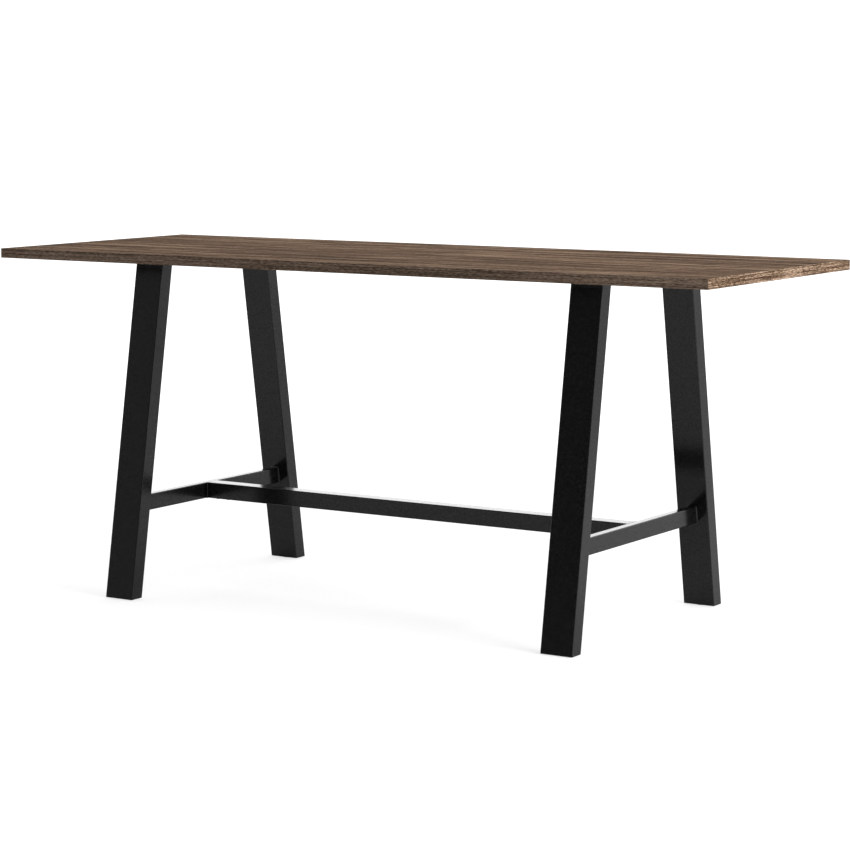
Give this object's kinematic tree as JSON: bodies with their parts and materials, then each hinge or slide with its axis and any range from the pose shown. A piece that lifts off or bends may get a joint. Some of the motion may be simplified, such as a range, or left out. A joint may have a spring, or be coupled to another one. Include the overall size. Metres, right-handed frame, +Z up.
{
  "type": "high table",
  "caption": "Long rectangular bar-height table with a woodgrain top on black leaning tube legs, end stretchers and a central foot rail, with levelling feet in the leg ends.",
  "frame": {"origin": "on the floor under the middle of the top", "axes": "+X along the top to the right, +Y to the rear, +Z up"},
  "size_m": [2.4384, 0.9144, 1.054],
  "materials": {
    "woodgrain_laminate": "satin brown woodgrain laminate, grain along the length",
    "woodgrain_edge": "satin brown woodgrain edge band, grain along the edge",
    "chipboard_core": "pressed wood chips, unseen",
    "backer_sheet": "matt dark brown balancing sheet",
    "black_coated_steel": "black powder coat, smooth semi-gloss",
    "black_hardware": "black oxide steel screws",
    "zinc_hardware": "bright zinc plated steel",
    "foot_nylon": "matt black nylon"
  },
  "bodies": {
    "table": {"top_core": "chipboard_core", "top_laminate": "woodgrain_laminate", "top_backer": "backer_sheet", "edge_band_front": "woodgrain_edge", "edge_band_rear": "woodgrain_edge", "edge_band_left": "woodgrain_edge", "edge_band_right": "woodgrain_edge", "foot_rail": "black_coated_steel", "rail_nuts": "zinc_hardware", "rail_screws": "black_hardware", "top_inserts": "zinc_hardware", "top_washers": "zinc_hardware", "top_screws": "black_hardware", "foot_nuts": "zinc_hardware", "top_plate_left": "black_coated_steel", "end_stretcher_left": "black_coated_steel", "rail_spigot_left": "black_coated_steel", "top_plate_right": "black_coated_steel", "end_stretcher_right": "black_coated_steel", "rail_spigot_right": "black_coated_steel", "leg_front_left": "black_coated_steel", "foot_plate_front_left": "black_coated_steel", "leg_front_right": "black_coated_steel", "foot_plate_front_right": "black_coated_steel", "leg_rear_left": "black_coated_steel", "foot_plate_rear_left": "black_coated_steel", "leg_rear_right": "black_coated_steel", "foot_plate_rear_right": "black_coated_steel"},
    "pad_front_left": {"leveller_pad_front_left": "foot_nylon"},
    "stem_front_left": {"leveller_stem_front_left": "zinc_hardware"},
    "pad_front_right": {"leveller_pad_front_right": "foot_nylon"},
    "stem_front_right": {"leveller_stem_front_right": "zinc_hardware"},
    "pad_rear_left": {"leveller_pad_rear_left": "foot_nylon"},
    "stem_rear_left": {"leveller_stem_rear_left": "zinc_hardware"},
    "pad_rear_right": {"leveller_pad_rear_right": "foot_nylon"},
    "stem_rear_right": {"leveller_stem_rear_right": "zinc_hardware"}
  },
  "joints": [
    {"name": "level_front_left", "type": "slide", "parent": "table", "child": "pad_front_left", "axis": [0, 0, -1], "range_m": [0, 0.01]},
    {"name": "turn_front_left", "type": "hinge", "parent": "pad_front_left", "child": "stem_front_left", "pos_m": [-0.7649, -0.43088, 0], "axis": [0, 0, -1], "range_deg": [0, 2880]},
    {"name": "level_front_right", "type": "slide", "parent": "table", "child": "pad_front_right", "axis": [0, 0, -1], "range_m": [0, 0.01]},
    {"name": "turn_front_right", "type": "hinge", "parent": "pad_front_right", "child": "stem_front_right", "pos_m": [0.7649, -0.43088, 0], "axis": [0, 0, -1], "range_deg": [0, 2880]},
    {"name": "level_rear_left", "type": "slide", "parent": "table", "child": "pad_rear_left", "axis": [0, 0, -1], "range_m": [0, 0.01]},
    {"name": "turn_rear_left", "type": "hinge", "parent": "pad_rear_left", "child": "stem_rear_left", "pos_m": [-0.7649, 0.43088, 0], "axis": [0, 0, -1], "range_deg": [0, 2880]},
    {"name": "level_rear_right", "type": "slide", "parent": "table", "child": "pad_rear_right", "axis": [0, 0, -1], "range_m": [0, 0.01]},
    {"name": "turn_rear_right", "type": "hinge", "parent": "pad_rear_right", "child": "stem_rear_right", "pos_m": [0.7649, 0.43088, 0], "axis": [0, 0, -1], "range_deg": [0, 2880]}
  ],
  "couplings": [
    {"joint": "turn_front_left", "follows": "level_front_left", "rad_per_m": 5026.5},
    {"joint": "turn_front_right", "follows": "level_front_right", "rad_per_m": 5026.5},
    {"joint": "turn_rear_left", "follows": "level_rear_left", "rad_per_m": 5026.5},
    {"joint": "turn_rear_right", "follows": "level_rear_right", "rad_per_m": 5026.5}
  ]
}
